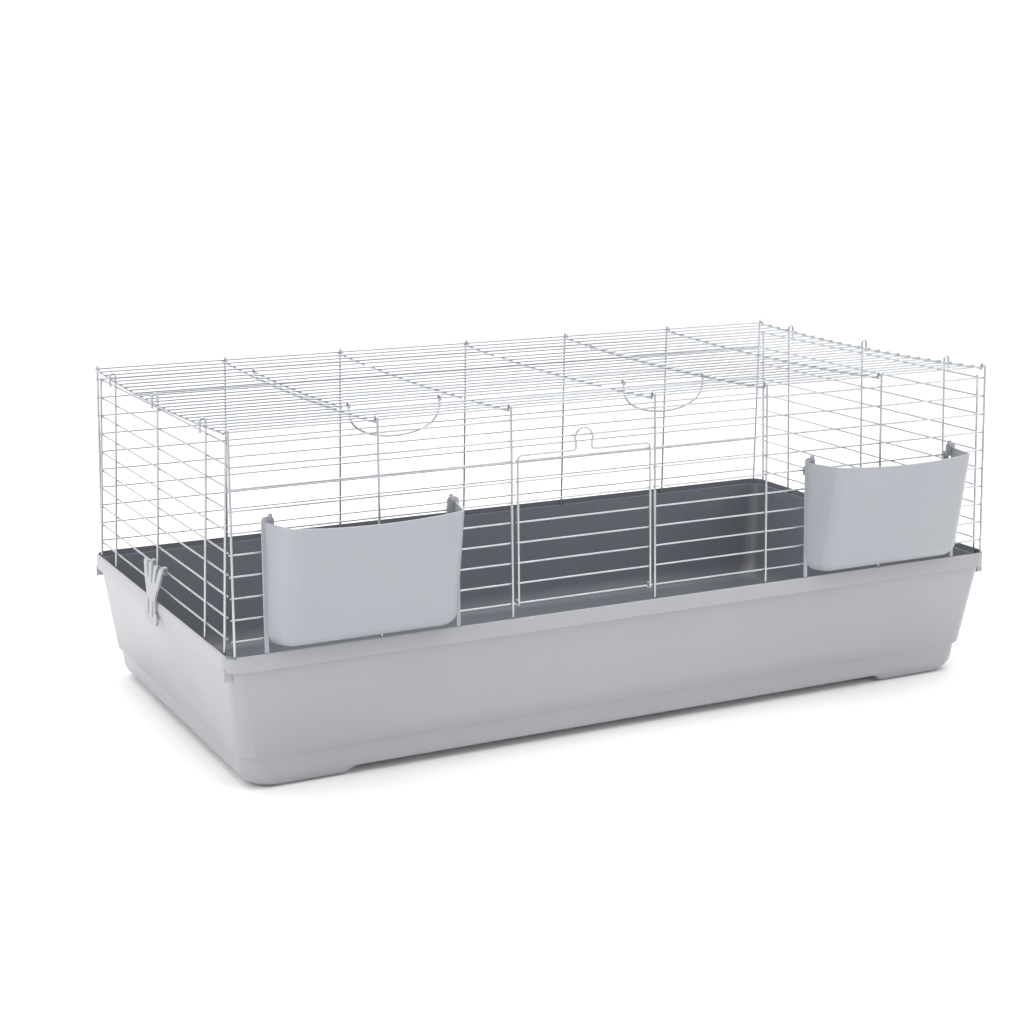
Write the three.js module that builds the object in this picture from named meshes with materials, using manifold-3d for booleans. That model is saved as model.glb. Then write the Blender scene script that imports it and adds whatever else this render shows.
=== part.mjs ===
// Indoor rabbit cage: a grey plastic tray, a zinc plated wire top with a front door and a roof
// hatch, two clip-on feeders and two end clips. Millimetres, +X along the length, the front is -Y
// and +Z is up.
import * as THREE from 'three';
import { mergeVertices } from 'three/addons/utils/BufferGeometryUtils.js';
import Module from 'manifold-3d';

const wasm = await Module();
wasm.setup();

// ---- driving dimensions ----
const totalHeight = 460;
const rimHalfLength = 585;
const rimHalfDepth = 295;
const gap = 0.3; // air between neighbouring solids

const tray = {
  rimTop: 182, ledgeTop: 174, floorTop: 16, cornerRadius: 24, cornerSteps: 5,
  skirtBottom: 162, lugBottom: 150, lugInset: 14, lugThickness: 2.5, lugLength: 10, footHeight: 12,
  footStartX: 420, footSlopeX: 13, footStartY: 146, footSlopeY: 13,
  wallFootInset: 22, wallHeadInset: 5, creaseTop: 45, wallHead: 170, panelDepth: 2.2, panelProud: 1.9,
};

const post = 3.2; // upright wire
const rung = 2.4; // level wire
const weld = 0.4; // how far two crossing wires sink into each other
const rungOffset = (post + rung) / 2 - weld; // rungs lie inside the uprights
const rungPitch = 26.5;
const lowestRung = 200;
const rungCount = 10;

const wirePlane = { footInset: 6.2, foot: tray.ledgeTop + 0.4, frontLean: 7.6, endLean: 7.8 };
const postX = [-573, -381, -197, 16, 194, 387, 573];
const endPostY = [-268, -195, 0, 195, 268];
const doorway = { left: postX[2], right: postX[3], headRung: 8 };

const roof = { edgeTop: 455.3, sag: 7, halfDepth: 277, halfLength: 574.7, wires: 24, openRows: 5 };
const crossShift = -3.6; // roof cross wires stand beside the uprights they pass
const pitchY = (2 * roof.halfDepth) / (roof.wires - 1);
const hatch = { frames: [-372, 186], rows: 13, overlap: 4, lift: 0.8 };

const door = { sideGap: 8, top: 393, cornerRadius: 7, wire: 3, rungs: 7 };
const latch = { left: -104, right: -80, neck: 403, loopRadius: 13, loopX: -96, loopZ: 414 };
const ring = { radius: 3.8, wire: 2.8, steps: 10, sweep: 5.3 }; // curled wire eye round another wire

const bail = { width: 130, drop: 41, wire: 3, steps: 16, leftX: -297, rightX: 115 };

const feeder = {
  halfWidth: 128, taper: 0.25, wall: 2.5, top: 343, bottom: 190, shoulder: 212, depthTop: 66,
  depthShoulder: 36, depthBottom: 14, cornerRadius: 15, bottomRound: 20, flange: 3, flangeThickness: 2.2,
  flangeBottom: 183, earHeight: 19, earTop: 350, earWidth: 16, earRadius: 5, hookWidth: 9,
  centres: [-405, 387],
};

// The clip's outline is half of it, across and up from its middle line.
const clip = {
  rungIndex: 1, thickness: 3, face: 0.4, hookY: 24, hookWidth: 8, headKnee: 190, lean: 0.1,
  tailKnee: 175, bulge: 0.069, slit: [7.5, 11, 162, 184],
  outline: [
    [1.8, 206], [4.6, 229], [7, 232], [13, 231.5], [16, 228.5], [13.6, 212], [14.6, 208.5],
    [17.2, 210.5], [26.5, 229], [30, 232.6], [36.5, 232], [39.5, 228], [30, 207], [20, 192],
    [18.4, 190], [18, 175], [18, 169], [22, 167.4], [26.5, 163], [27.6, 158], [25, 153.6], [19, 152],
  ],
};

// ---- materials ----
const look = (color, roughness, metalness) => new THREE.MeshStandardMaterial({ color, roughness, metalness });
const zincWire = () => look('#c3c6ca', 0.3, 1);
const greyPlastic = () => look('#b9bbc0', 0.42, 0);
const palePlastic = () => look('#bfc2c9', 0.36, 0);

// ---- solids ----
function toSolid(geometry) {
  const bare = geometry.clone();
  bare.deleteAttribute('normal');
  bare.deleteAttribute('uv');
  const merged = mergeVertices(bare, 1e-4);
  const vertProperties = new Float32Array(merged.attributes.position.array);
  const triVerts = new Uint32Array(merged.index.array);
  return new wasm.Manifold(new wasm.Mesh({ numProp: 3, vertProperties, triVerts }));
}

function toGeometry(solid) {
  const mesh = solid.getMesh();
  const geometry = new THREE.BufferGeometry();
  geometry.setAttribute('position', new THREE.BufferAttribute(new Float32Array(mesh.vertProperties), 3));
  geometry.setIndex(new THREE.BufferAttribute(new Uint32Array(mesh.triVerts), 1));
  geometry.computeVertexNormals();
  return geometry;
}

function join(geometries) {
  return toGeometry(geometries.map(toSolid).reduce((whole, piece) => whole.add(piece)));
}

function cut(geometry, tools) {
  return toGeometry(tools.map(toSolid).reduce((whole, tool) => whole.subtract(tool), toSolid(geometry)));
}

// A box between two opposite corners.
function block(x0, x1, y0, y1, z0, z1) {
  const box = new THREE.BoxGeometry(x1 - x0, y1 - y0, z1 - z0);
  return box.translate((x0 + x1) / 2, (y0 + y1) / 2, (z0 + z1) / 2);
}

// Square wires along each axis, given by their two ends and the centre of their section.
const wireX = (x0, x1, y, z, d) => block(x0, x1, y - d / 2, y + d / 2, z - d / 2, z + d / 2);
const wireZ = (x, y, z0, z1, d) => block(x - d / 2, x + d / 2, y - d / 2, y + d / 2, z0, z1);

// Turns a shape drawn in XY to stand in the XZ or the YZ plane.
const standXZ = (geometry) => geometry.rotateX(Math.PI / 2);
const standYZ = (geometry) => geometry.rotateX(Math.PI / 2).rotateZ(Math.PI / 2);

function slab(shape, depth) {
  const solid = new THREE.ExtrudeGeometry(shape, { depth, bevelEnabled: false, curveSegments: 8 });
  return solid.translate(0, 0, -depth / 2);
}

// A square wire of width d that follows a flat path.
function flatWire(points, d) {
  const sides = [[], []];
  points.forEach((point, i) => {
    const before = points[Math.max(i - 1, 0)];
    const after = points[Math.min(i + 1, points.length - 1)];
    const along = after.clone().sub(before).normalize();
    const across = new THREE.Vector2(-along.y, along.x).multiplyScalar(d / 2);
    sides[0].push(point.clone().add(across));
    sides[1].push(point.clone().sub(across));
  });
  return slab(new THREE.Shape([...sides[0], ...sides[1].reverse()]), d);
}

// The open eye that a wire's end is curled into, in the YZ plane.
function eye(x, y, z, start) {
  const arc = new THREE.EllipseCurve(y, z, ring.radius, ring.radius, start, start + ring.sweep);
  return standYZ(flatWire(arc.getPoints(ring.steps), ring.wire)).translate(x, 0, 0);
}

// ---- tray ----
// The corners tighten towards the ledge and open out again down the wall.
const cornerAt = (inset) => tray.cornerRadius - Math.min(inset, 9) + Math.max(0, inset - 9) * 0.6;

// The short ends turn under with a larger radius than the long walls: endInset is what they add.
function roundedRectangle(inset, z, endInset = 0) {
  const r = cornerAt(inset);
  const points = [];
  const corners = [[1, 1, 0], [-1, 1, 1], [-1, -1, 2], [1, -1, 3]];
  corners.forEach(([sx, sy, quarter]) => {
    for (let i = 0; i <= tray.cornerSteps; i += 1) {
      const angle = (Math.PI / 2) * (quarter + i / tray.cornerSteps);
      const x = sx * (rimHalfLength - inset - endInset - r) + r * Math.cos(angle);
      const y = sy * (rimHalfDepth - inset - r) + r * Math.sin(angle);
      points.push(x, y, z);
    }
  });
  return points;
}

// A closed skin through a list of [inset, height, endInset] levels, capped at both ends.
function loft(levels) {
  const count = 4 * (tray.cornerSteps + 1);
  const index = [];
  for (let level = 0; level < levels.length - 1; level += 1) {
    for (let i = 0; i < count; i += 1) {
      const a = level * count + i;
      const b = level * count + ((i + 1) % count);
      index.push(a, b, b + count, a, b + count, a + count);
    }
  }
  const last = (levels.length - 1) * count;
  for (let i = 1; i < count - 1; i += 1) {
    index.push(0, i + 1, i);
    index.push(last, last + i, last + i + 1);
  }
  const geometry = new THREE.BufferGeometry();
  const points = levels.flatMap((level) => roundedRectangle(...level));
  geometry.setAttribute('position', new THREE.Float32BufferAttribute(points, 3));
  geometry.setIndex(index);
  return geometry;
}

function trayShell() {
  const t = tray;
  const outside = [
    [42, 0, 16], [36.5, 1.2, 12.8], [32, 4.2, 10.2], [29, 8.8, 7], [27.5, 15, 3.4], [27, 22, 1],
    [26, t.creaseTop - 5], [t.wallFootInset, t.creaseTop],
    [t.wallHeadInset, t.wallHead],
    [2.5, t.wallHead], [2.5, t.skirtBottom], [0, t.skirtBottom], [0, t.rimTop - 2], [0.8, t.rimTop],
  ];
  const inside = [
    [3.2, t.rimTop], [3.4, t.ledgeTop], [9, t.ledgeTop], [25.5, t.creaseTop], [31, 27],
    [38, 19], [52, t.floorTop],
  ];
  return loft([...outside, ...inside]);
}

// The small lug that hangs below the rim near each corner.
function cornerLug(side, end) {
  const x = end * (rimHalfLength - 0.4);
  const y = side * (rimHalfDepth - tray.lugInset);
  const span = (a, b) => [Math.min(a, b), Math.max(a, b)];
  const xs = span(x, x - end * tray.lugLength);
  const ys = span(y, y - side * tray.lugThickness);
  return block(...xs, ...ys, tray.lugBottom, tray.skirtBottom + 3);
}

// The passage between the feet, as a prism with sloping ends.
function underCut(start, slope) {
  const outline = new THREE.Shape();
  outline.moveTo(-start, -1);
  outline.lineTo(-start + slope, tray.footHeight);
  outline.lineTo(start - slope, tray.footHeight);
  outline.lineTo(start, -1);
  return outline;
}

// The shallow arched panel pressed into a long wall: side -1 is the front, 1 the rear.
function wallPanel(side) {
  const rise = tray.wallHead - tray.creaseTop;
  const run = tray.wallFootInset - tray.wallHeadInset;
  const outline = new THREE.Shape();
  outline.moveTo(-388, 124);
  outline.lineTo(-372, 66);
  outline.quadraticCurveTo(-352, 6, -280, 6);
  outline.lineTo(280, 6);
  outline.quadraticCurveTo(352, 6, 372, 66);
  outline.lineTo(388, 124);
  const thickness = tray.panelDepth + tray.panelProud;
  const tool = standXZ(slab(outline, thickness)).rotateX(Math.atan2(run, rise));
  const depth = rimHalfDepth - tray.wallFootInset + tray.panelProud - thickness / 2;
  tool.translate(0, -depth, tray.creaseTop);
  return side < 0 ? tool : tool.rotateZ(Math.PI);
}

function baseTray() {
  const t = tray;
  const lugs = [-1, 1].flatMap((side) => [cornerLug(side, -1), cornerLug(side, 1)]);
  const shell = join([trayShell(), ...lugs]);
  const alongX = standXZ(slab(underCut(t.footStartX, t.footSlopeX), 2 * rimHalfDepth));
  const alongY = standYZ(slab(underCut(t.footStartY, t.footSlopeY), 2 * rimHalfLength));
  return cut(shell, [alongX, alongY, wallPanel(-1), wallPanel(1)]);
}

// ---- wire panels: x along the panel, y inwards, z above the floor ----
const rungZ = (i) => lowestRung + i * rungPitch;
const allRungs = [...Array(rungCount).keys()];

// The end of an upright, bent inwards over the roof's edge wire.
function postHook(x) {
  const path = new THREE.Path();
  path.moveTo(0, 440);
  path.lineTo(0, totalHeight - 5.5);
  path.absarc(3.9, totalHeight - 5.5, 3.9, Math.PI, 0, true);
  path.lineTo(7.8, 449);
  return standYZ(flatWire(path.getPoints(3), post)).translate(x, 0, 0);
}

// The end of an upright that passes inside the roof's edge wire and turns back down outside it.
function loopHook(y) {
  const path = new THREE.Path();
  path.moveTo(0, 445);
  path.lineTo(0, totalHeight - 5.5);
  path.absarc(3.9, totalHeight - 5.5, 3.9, Math.PI, 0, true);
  path.lineTo(7.4, 440);
  return standXZ(flatWire(path.getPoints(3), post)).rotateZ(Math.PI).translate(0, y, 0);
}

// The corner uprights end just above the tray's rounded lip; the others stand on its ledge.
function upright(x) {
  const atCorner = Math.abs(x) > rimHalfLength - tray.cornerRadius;
  const foot = atCorner ? tray.rimTop + 0.6 : wirePlane.foot;
  return [wireZ(x, 0, foot, 442, post), postHook(x)];
}

function grille(posts, rungs, x0, x1) {
  const uprights = posts.flatMap(upright);
  const levels = rungs.map((i) => wireX(x0, x1, rungOffset, rungZ(i), rung));
  return join([...uprights, ...levels]);
}

function frontGrilleLeft() {
  return grille(postX.slice(0, 2), allRungs, postX[0] - 2.5, doorway.left - post / 2 - gap);
}

function frontGrilleRight() {
  return grille(postX.slice(4), allRungs, doorway.right + post / 2 + gap, postX[6] + 2.5);
}

// The two uprights beside the door, with the door's hinge wire below and two rungs above it.
function doorwayFrame() {
  return grille([doorway.left, doorway.right], [0, doorway.headRung, doorway.headRung + 1],
    doorway.left, doorway.right);
}

function rearPanel() {
  return grille(postX.map((x) => -x), allRungs, -postX[6] - 2.5, postX[6] + 2.5);
}

function endPanel() {
  const reach = endPostY[4] + 2.5;
  const levels = allRungs.map((i) => block(rungOffset - rung / 2, rungOffset + rung / 2,
    -reach, reach, rungZ(i) - rung / 2, rungZ(i) + rung / 2));
  const uprights = endPostY.map((y) => wireZ(0, y, wirePlane.foot, rungZ(rungCount - 1) + 3, post));
  const hooks = endPostY.slice(1, 4).map((y) => loopHook(y));
  const necks = endPostY.slice(1, 4).map((y) => wireZ(0, y, rungZ(rungCount - 1), 448, post));
  return join([...levels, ...uprights, ...necks, ...hooks]);
}

// ---- roof ----
const sagAt = (y) => roof.sag * (1 - (y / roof.halfDepth) ** 2);
const wireHeight = (y) => roof.edgeTop - rung / 2 - sagAt(y);
const rowY = (i) => -roof.halfDepth + i * pitchY;

// A cross wire under the level wires, bowed with the roof.
function crossWire(x, y0, y1) {
  const steps = Math.max(2, Math.round((y1 - y0) / 60));
  const points = [];
  for (let i = 0; i <= steps; i += 1) {
    const y = y0 + ((y1 - y0) * i) / steps;
    points.push(new THREE.Vector2(y, wireHeight(y) - rungOffset));
  }
  return standYZ(flatWire(points, post)).translate(x, 0, 0);
}

// The outermost cross wires end just inside the corner uprights' hooks.
function roofGrille(crossXs, rows, x0, x1, y0, y1) {
  const crosses = crossXs.map((x) => {
    const reach = Math.abs(x) < roof.halfLength ? Infinity : roof.halfDepth - 6.5;
    return crossWire(x, Math.max(y0, -reach), Math.min(y1, reach));
  });
  const levels = rows.map((y) => wireX(x0, x1, y, wireHeight(y), rung));
  return join([...crosses, ...levels]);
}

const roofRows = [...Array(roof.wires).keys()].map(rowY);
const frontRows = roofRows.slice(0, roof.openRows);
const rearRows = roofRows.slice(-roof.openRows);
const openLeft = postX[1] + crossShift;
const openRight = postX[4] + crossShift;
const edge = roof.halfDepth + rung / 2;
const middleCrosses = [postX[2] + crossShift, postX[3] + crossShift];

function roofLeft() {
  return roofGrille([-roof.halfLength, openLeft], roofRows, -roof.halfLength - 3, openLeft + 1.2,
    -edge, edge);
}

function roofRight() {
  const crosses = [openRight, postX[5] + crossShift, roof.halfLength];
  return roofGrille(crosses, roofRows, openRight - 1.2, roof.halfLength + 3, -edge, edge);
}

const stripStart = openLeft + post / 2 + gap;
const stripEnd = openRight - post / 2 - gap;

function roofFrontStrip() {
  return roofGrille(middleCrosses, frontRows, stripStart, stripEnd, -edge, frontRows.at(-1) + 2);
}

function roofRearStrip() {
  return roofGrille(middleCrosses, rearRows, stripStart, stripEnd, rearRows[0] - 2, edge);
}

// ---- hatch in the roof, with its two hanging bails ----
const hatchRows = [...Array(hatch.rows).keys()].map((i) => (i - (hatch.rows - 1) / 2) * pitchY);
const hatchFront = hatchRows[0];
const hingeY = rearRows[0];

function roofHatch() {
  const reach = hatchRows.at(-1) + 2;
  const bars = [...middleCrosses, ...hatch.frames].map((x) => crossWire(x, hatchFront - 2, reach));
  const x0 = openLeft - hatch.overlap;
  const x1 = openRight + hatch.overlap;
  const levels = hatchRows.map((y) => wireX(x0, x1, y, wireHeight(y), rung));
  return join([...levels, ...bars]).translate(0, 0, hatch.lift);
}

// The rear end of a side bar, curled round the roof wire it turns on.
function hatchArm(x) {
  const arm = crossWire(x, hatchRows.at(-1) + 2 + gap, hingeY - 2.8);
  const curl = eye(x, hingeY, wireHeight(hingeY) - hatch.lift, Math.PI * 1.15);
  return join([arm, curl]).translate(0, 0, hatch.lift);
}

// A U-shaped wire handle that hangs from the hatch's front wire.
function hatchBail(centre) {
  const z = wireHeight(hatchFront) + hatch.lift;
  const points = [];
  for (let i = 0; i <= bail.steps; i += 1) {
    const angle = Math.PI * (1 + i / bail.steps);
    const flat = Math.abs(Math.sin(angle)) ** 0.75;
    points.push(new THREE.Vector2((bail.width / 2) * Math.cos(angle), -bail.drop * flat));
  }
  const bow = standXZ(flatWire(points, bail.wire)).translate(centre, hatchFront, z - ring.radius);
  const ends = [-1, 1].map((side) => centre + (side * bail.width) / 2);
  const eyes = ends.map((x) => eye(x, hatchFront, z, -Math.PI / 2));
  return join([bow, ...eyes]);
}

// ---- front door ----
function frontDoor() {
  const left = doorway.left + door.sideGap;
  const right = doorway.right - door.sideGap;
  const r = door.cornerRadius;
  const path = new THREE.Path();
  path.moveTo(left, lowestRung);
  path.lineTo(left, door.top - r);
  path.absarc(left + r, door.top - r, r, Math.PI, Math.PI / 2, true);
  path.lineTo(latch.left, door.top);
  path.lineTo(latch.left + 0.5, door.top + 4);
  path.lineTo(latch.left, latch.neck);
  path.absarc(latch.loopX, latch.loopZ, latch.loopRadius, Math.PI * 1.22, -Math.PI * 0.2, true);
  path.lineTo(latch.right, latch.neck - 2);
  path.lineTo(latch.right, door.top + 4);
  path.lineTo(latch.right + 0.5, door.top);
  path.lineTo(right - r, door.top);
  path.absarc(right - r, door.top - r, r, Math.PI / 2, 0, true);
  path.lineTo(right, lowestRung);
  const plane = rungOffset - ring.radius;
  const frame = standXZ(flatWire(path.getPoints(4), door.wire)).translate(0, plane, 0);
  const eyes = [left, right].map((x) => eye(x, rungOffset, lowestRung, Math.PI));
  const rungY = plane + (door.wire + rung) / 2 - weld;
  const doorRungs = allRungs.slice(1, door.rungs + 1);
  const levels = doorRungs.map((i) => wireX(left - 2, right + 2, rungY, rungZ(i), rung));
  return join([frame, ...eyes, ...levels]);
}

// ---- feeder: an open-backed pocket, y outwards from the wires is negative ----
function feederDepth(z) {
  if (z >= feeder.shoulder) {
    const share = (z - feeder.shoulder) / (feeder.top - feeder.shoulder);
    return feeder.depthShoulder + share * (feeder.depthTop - feeder.depthShoulder);
  }
  const share = (feeder.shoulder - z) / (feeder.shoulder - feeder.bottom);
  const round = Math.sqrt(1 - share * share);
  return feeder.depthBottom + round * (feeder.depthShoulder - feeder.depthBottom);
}

// How far the side walls turn in towards the bottom.
function feederSideIn(z) {
  const low = Math.max(0, feeder.bottom + feeder.bottomRound - z) / feeder.bottomRound;
  return feeder.bottomRound * (1 - Math.sqrt(1 - Math.min(low, 1) ** 2));
}

// One level of the pocket: a flat back and two rounded front corners.
function feederSection(depth, halfWidth, back, z) {
  const r = Math.min(feeder.cornerRadius, depth * 0.6);
  const front = halfWidth - feeder.taper * depth;
  const steps = 4;
  const points = [halfWidth, back, z];
  const corners = [[1, 0], [-1, -Math.PI / 2]];
  corners.forEach(([side, start]) => {
    for (let i = 0; i <= steps; i += 1) {
      const angle = start - (Math.PI / 2) * (i / steps);
      points.push(side * (front - r) + r * Math.cos(angle), -depth + r + r * Math.sin(angle), z);
    }
  });
  points.push(-halfWidth, back, z);
  return points;
}

function feederSolid(levels, inset, back) {
  const sections = levels.map((z) => {
    const outside = Math.max(z - inset, feeder.bottom);
    const halfWidth = feeder.halfWidth - inset - feederSideIn(outside);
    return feederSection(feederDepth(outside) - inset, halfWidth, back, z);
  });
  const count = sections[0].length / 3;
  const index = [];
  for (let level = 0; level < sections.length - 1; level += 1) {
    for (let i = 0; i < count; i += 1) {
      const a = level * count + i;
      const b = level * count + ((i + 1) % count);
      index.push(a, b + count, b, a, a + count, b + count);
    }
  }
  const last = (sections.length - 1) * count;
  for (let i = 1; i < count - 1; i += 1) {
    index.push(0, i, i + 1);
    index.push(last, last + i + 1, last + i);
  }
  const geometry = new THREE.BufferGeometry();
  geometry.setAttribute('position', new THREE.Float32BufferAttribute(sections.flat(), 3));
  geometry.setIndex(index);
  return geometry;
}

// The ear at the right top corner, with a stud on top and the hook that drops behind a rung.
function feederEar() {
  const f = feeder;
  const x1 = f.halfWidth + f.flange;
  const x0 = x1 - f.earWidth;
  const r = f.earRadius;
  const outline = new THREE.Shape();
  outline.moveTo(x0, f.earTop - f.earHeight);
  outline.lineTo(x1, f.earTop - f.earHeight);
  outline.lineTo(x1, f.earTop - r);
  outline.absarc(x1 - r, f.earTop - r, r, 0, Math.PI / 2);
  outline.absarc(x0 + r, f.earTop - r, r, Math.PI / 2, Math.PI);
  const plate = standXZ(slab(outline, f.flangeThickness)).translate(0, -f.flangeThickness / 2, 0);
  const hookX = x1 - f.earWidth / 2;
  const half = f.hookWidth / 2;
  const rungTop = rungZ(5) + rung / 2;
  const back = post / 2 + 0.6 + rungOffset + rung / 2 + 1;
  const bridge = block(hookX - half, hookX + half, -1, back + 2.2, rungTop + 0.5, rungTop + 3.2);
  const lip = block(hookX - half, hookX + half, back, back + 2.2, rungTop - 9, rungTop + 3.2);
  const stud = block(x0 + 3, x0 + 7, -4.5, -0.5, f.earTop - 4, f.earTop + 3.5);
  return [plate, bridge, lip, stud];
}

function mirrorX(geometry) {
  const solid = toSolid(geometry).mirror([1, 0, 0]);
  return toGeometry(solid);
}

function feederPocket() {
  const f = feeder;
  const levels = [190, 191.2, 193.8, 198, 204, 212, f.top];
  const outer = feederSolid(levels, 0, 0);
  const innerLevels = [192.5, 193.7, 196.3, 200.5, 206.5, 214.5, f.top + f.wall];
  const inner = feederSolid(innerLevels, f.wall, 3);
  const shell = cut(outer, [inner]);
  const flange = block(f.halfWidth - 2, f.halfWidth + f.flange, -f.flangeThickness, 0,
    f.flangeBottom, f.top - 6);
  const rightSide = join([flange, ...feederEar()]);
  return join([shell, rightSide, mirrorX(rightSide)]);
}

// ---- end clip: drawn for the right end, x outwards ----
// The head leans in towards the wires and the tail stands off the rim.
function bendClip(z) {
  if (z > clip.headKnee) return -(z - clip.headKnee) * clip.lean;
  return Math.max(0, clip.tailKnee - z) * clip.bulge;
}

// A head of four fingers, a narrow neck and a round pad with two slits beside its middle tongue.
function clipPlate() {
  const half = clip.outline.map(([y, z]) => new THREE.Vector2(y, z));
  const mirrored = half.map((point) => new THREE.Vector2(-point.x, point.y));
  const shape = new THREE.Shape([...half.reverse(), ...mirrored]);
  const plate = standYZ(slab(shape, clip.thickness));
  plate.translate(rimHalfLength + clip.face + clip.thickness / 2, 0, 0);
  const point = plate.attributes.position;
  for (let i = 0; i < point.count; i += 1) point.setX(i, point.getX(i) + bendClip(point.getZ(i)));
  const [inner, outer, low, high] = clip.slit;
  const x0 = rimHalfLength - 2;
  const x1 = rimHalfLength + 8;
  return cut(plate, [block(x0, x1, inner, outer, low, high), block(x0, x1, -outer, -inner, low, high)]);
}

// One open hook round the end panel's rung, with the arm that carries it.
function clipHook(rungX, y) {
  const arc = new THREE.EllipseCurve(0, 0, ring.radius, ring.radius, -2.2, 2.4);
  const hook = standXZ(flatWire(arc.getPoints(ring.steps), ring.wire));
  hook.scale(1, clip.hookWidth / ring.wire, 1);
  const z = rungZ(clip.rungIndex);
  hook.translate(rungX, y, z);
  const half = clip.hookWidth / 2;
  const arm = block(rungX + ring.radius - 0.6, rimHalfLength - 2, y - half, y + half, z - 1.5, z + 1.5);
  return [hook, arm];
}

// The nib below the slits is what snaps under the rim.
function endClip(rungX) {
  const plateX = rimHalfLength + clip.face;
  const nib = block(rimHalfLength - 3, plateX + 2, -7, 7, 156, tray.skirtBottom - 0.5);
  return join([clipPlate(), nib, ...clipHook(rungX, -clip.hookY), ...clipHook(rungX, clip.hookY)]);
}

// ---- assembly ----
function part(name, geometry, material) {
  const mesh = new THREE.Mesh(geometry, material);
  mesh.name = name;
  return mesh;
}

// A panel stands on the tray's ledge and leans inwards a little. Its own y points into the cage.
function standing(meshes, turn, footDistance, lean, height) {
  const tilt = new THREE.Group();
  tilt.add(...meshes);
  tilt.rotation.x = -Math.atan2(lean, height);
  tilt.position.y = -footDistance;
  tilt.position.z = wirePlane.foot;
  meshes.forEach((mesh) => mesh.geometry.translate(0, 0, -wirePlane.foot));
  const turned = new THREE.Group();
  turned.add(tilt);
  turned.rotation.z = turn;
  return turned;
}

const leanHeight = totalHeight - wirePlane.foot;
const sideFoot = rimHalfDepth - wirePlane.footInset;
const endFoot = rimHalfLength - wirePlane.footInset;
const feederBack = -post / 2 - 0.6;

const frontSide = standing([
  part('front_grille_left', frontGrilleLeft(), zincWire()),
  part('front_grille_right', frontGrilleRight(), zincWire()),
  part('doorway_frame', doorwayFrame(), zincWire()),
  part('front_door', frontDoor(), zincWire()),
  part('left_feeder', feederPocket().translate(feeder.centres[0], feederBack, 0), palePlastic()),
  part('right_feeder', feederPocket().translate(feeder.centres[1], feederBack, 0), palePlastic()),
], 0, sideFoot, wirePlane.frontLean, leanHeight);

const rearSide = standing([part('rear_panel', rearPanel(), zincWire())],
  Math.PI, sideFoot, wirePlane.frontLean, leanHeight);

// End panels are drawn with x inwards, so a quarter turn makes their own y the inward side.
const endGeometry = () => endPanel().rotateZ(Math.PI / 2);
const leftEnd = standing([part('left_end_panel', endGeometry(), zincWire())],
  -Math.PI / 2, endFoot, wirePlane.endLean, leanHeight);
const rightEnd = standing([part('right_end_panel', endGeometry(), zincWire())],
  Math.PI / 2, endFoot, wirePlane.endLean, leanHeight);

const clipRungZ = rungZ(clip.rungIndex);
const clipRungLean = (wirePlane.endLean * (clipRungZ - wirePlane.foot)) / leanHeight;
const clipRungX = endFoot - rungOffset - clipRungLean;

const hutch = new THREE.Group();
hutch.add(
  part('base_tray', baseTray(), greyPlastic()),
  frontSide,
  rearSide,
  leftEnd,
  rightEnd,
  part('roof_grille_left', roofLeft(), zincWire()),
  part('roof_grille_right', roofRight(), zincWire()),
  part('roof_front_strip', roofFrontStrip(), zincWire()),
  part('roof_rear_strip', roofRearStrip(), zincWire()),
  part('roof_hatch', roofHatch(), zincWire()),
  part('hatch_arm_left', hatchArm(hatch.frames[0]), zincWire()),
  part('hatch_arm_right', hatchArm(hatch.frames[1]), zincWire()),
  part('hatch_bail_left', hatchBail(bail.leftX), zincWire()),
  part('hatch_bail_right', hatchBail(bail.rightX), zincWire()),
  part('right_clip', endClip(clipRungX), palePlastic()),
  part('left_clip', endClip(clipRungX).rotateZ(Math.PI), palePlastic()),
);

// The feeders hang in front of the tray, so the box's centre is moved over the origin.
const box = new THREE.Box3().setFromObject(hutch, true);
hutch.position.y = -(box.min.y + box.max.y) / 2;

export default hutch;
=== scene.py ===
import math
import bmesh
import bpy
from mathutils import Matrix, Vector


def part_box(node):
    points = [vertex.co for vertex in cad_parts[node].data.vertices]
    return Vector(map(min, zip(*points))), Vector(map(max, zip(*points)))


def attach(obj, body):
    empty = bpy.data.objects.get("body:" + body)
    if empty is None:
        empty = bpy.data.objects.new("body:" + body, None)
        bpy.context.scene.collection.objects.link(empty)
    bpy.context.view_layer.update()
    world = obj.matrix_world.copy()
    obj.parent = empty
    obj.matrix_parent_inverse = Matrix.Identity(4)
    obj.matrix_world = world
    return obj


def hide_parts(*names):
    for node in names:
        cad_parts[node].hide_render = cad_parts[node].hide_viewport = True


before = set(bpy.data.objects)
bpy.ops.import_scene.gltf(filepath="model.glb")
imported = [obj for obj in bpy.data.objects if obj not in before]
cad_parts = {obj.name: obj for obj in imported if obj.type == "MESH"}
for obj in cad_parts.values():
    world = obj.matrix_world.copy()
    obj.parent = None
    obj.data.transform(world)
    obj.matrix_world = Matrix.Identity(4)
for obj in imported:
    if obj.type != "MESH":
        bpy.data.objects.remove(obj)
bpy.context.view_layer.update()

trayLow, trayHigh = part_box("base_tray")
middleY = (trayLow.y + trayHigh.y) / 2
rimHalfLength = (trayHigh.x - trayLow.x) / 2
rimHalfDepth = (trayHigh.y - trayLow.y) / 2
print("frame loaded, rim", round(rimHalfLength * 2, 3), "by", round(rimHalfDepth * 2, 3), "m")


def deselectAll():
    if bpy.context.object and bpy.context.object.mode != "OBJECT":
        bpy.ops.object.mode_set(mode="OBJECT")
    bpy.ops.object.select_all(action="DESELECT")


def pickOnly(piece):
    deselectAll()
    piece.select_set(True)
    bpy.context.view_layer.objects.active = piece


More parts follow.
